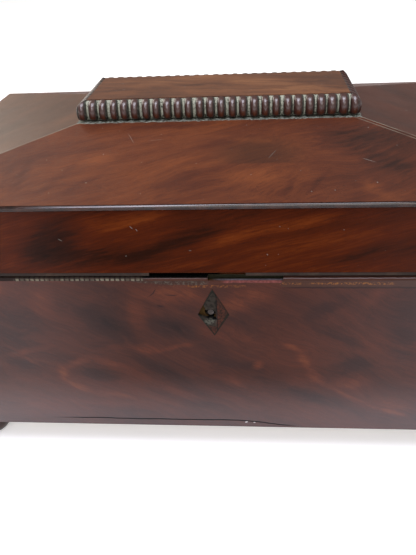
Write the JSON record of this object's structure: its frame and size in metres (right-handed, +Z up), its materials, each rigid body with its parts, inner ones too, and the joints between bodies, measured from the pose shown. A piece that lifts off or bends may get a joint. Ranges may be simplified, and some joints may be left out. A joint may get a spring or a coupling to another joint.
{
  "type": "tea caddy",
  "caption": "Sarcophagus tea caddy: tapered lockable wooden box on bun feet, hinged hipped lid with gadrooned raised top, lidded tea compartments and a mixing bowl inside.",
  "frame": {"origin": "on the floor under the middle of the box", "axes": "+Z up, +X to the right along the front, front faces -Y"},
  "size_m": [0.33, 0.2, 0.1956],
  "materials": {
    "body_mahogany": "old French polish over flame veneer",
    "base_wood": "bare pine, dusty",
    "lid_mahogany": "old French polish over flame veneer",
    "plateau_mahogany": "old French polish",
    "gadroon_mahogany": "carved, polished, grime in the hollows",
    "ebonised_edging": "ebonised, worn",
    "rim_edging": "dark edging, chipped",
    "foot_wood": "turned and stained dark",
    "inner_wood": "plain mahogany, satin",
    "knob_wood": "turned, dark polish",
    "bowl_glass": "clear, slightly grey",
    "escutcheon_metal": "tarnished grey-green",
    "lock_iron": "dark, lightly rusted",
    "lock_brass": "dull brass",
    "hinge_brass": "dull brass",
    "hinge_screw_iron": "dark iron"
  },
  "bodies": {
    "caddy_box": {"front_panel": "body_mahogany", "back_panel": "body_mahogany", "left_end_panel": "body_mahogany", "right_end_panel": "body_mahogany", "base_board": "base_wood", "rim_strip_front": "rim_edging", "rim_strip_back": "rim_edging", "rim_strip_left": "rim_edging", "rim_strip_right": "rim_edging", "bun_foot_front_left": "foot_wood", "bun_foot_front_right": "foot_wood", "bun_foot_back_left": "foot_wood", "bun_foot_back_right": "foot_wood", "divider_left": "inner_wood", "divider_right": "inner_wood", "bowl_board": "inner_wood", "bowl_board_cleats": "inner_wood", "tea_lid_ledges_left": "inner_wood", "tea_lid_ledges_right": "inner_wood", "escutcheon": "escutcheon_metal", "lock_case": "lock_iron", "lock_drill_pin": "lock_iron", "lock_screws": "lock_iron", "lock_selvedge": "lock_brass", "hinge_leaf_body_left": "hinge_brass", "hinge_leaf_body_right": "hinge_brass", "hinge_pin_left": "hinge_brass", "hinge_pin_right": "hinge_brass", "hinge_screws_body": "hinge_screw_iron"},
    "lid": {"lid_rail_front": "lid_mahogany", "lid_rail_back": "lid_mahogany", "lid_rail_left": "lid_mahogany", "lid_rail_right": "lid_mahogany", "slope_panel_front": "lid_mahogany", "slope_panel_back": "lid_mahogany", "slope_panel_left": "lid_mahogany", "slope_panel_right": "lid_mahogany", "plateau_core": "plateau_mahogany", "plateau_cap": "plateau_mahogany", "gadroon_front": "gadroon_mahogany", "gadroon_back": "gadroon_mahogany", "gadroon_left": "gadroon_mahogany", "gadroon_right": "gadroon_mahogany", "lid_bead_front": "ebonised_edging", "lid_bead_back": "ebonised_edging", "lid_bead_left": "ebonised_edging", "lid_bead_right": "ebonised_edging", "lid_edging": "ebonised_edging", "hinge_leaf_lid_left": "hinge_brass", "hinge_leaf_lid_right": "hinge_brass", "hinge_screws_lid": "hinge_screw_iron", "link_plate": "lock_brass", "link_plate_screws": "lock_iron"},
    "lock_bolt": {"lock_bolt": "lock_brass"},
    "tea_lid_left": {"tea_lid_left": "inner_wood", "tea_knob_left": "knob_wood"},
    "tea_lid_right": {"tea_lid_right": "inner_wood", "tea_knob_right": "knob_wood"},
    "glass_bowl": {"glass_bowl": "bowl_glass"}
  },
  "joints": [
    {"name": "lid_hinge", "type": "hinge", "parent": "caddy_box", "child": "lid", "pos_m": [0, 0.098, 0.1295], "axis": [-1, 0, 0], "range_deg": [0, 100]},
    {"name": "lock_bolt_slide", "type": "slide", "parent": "caddy_box", "child": "lock_bolt", "axis": [1, 0, 0], "range_m": [0, 0.0045]},
    {"name": "left_tea_lid_lift", "type": "slide", "parent": "caddy_box", "child": "tea_lid_left", "axis": [0, 0, 1], "range_m": [0, 0.03]},
    {"name": "right_tea_lid_lift", "type": "slide", "parent": "caddy_box", "child": "tea_lid_right", "axis": [0, 0, 1], "range_m": [0, 0.03]},
    {"name": "bowl_lift", "type": "slide", "parent": "caddy_box", "child": "glass_bowl", "axis": [0, 0, 1], "range_m": [0, 0.03]}
  ]
}
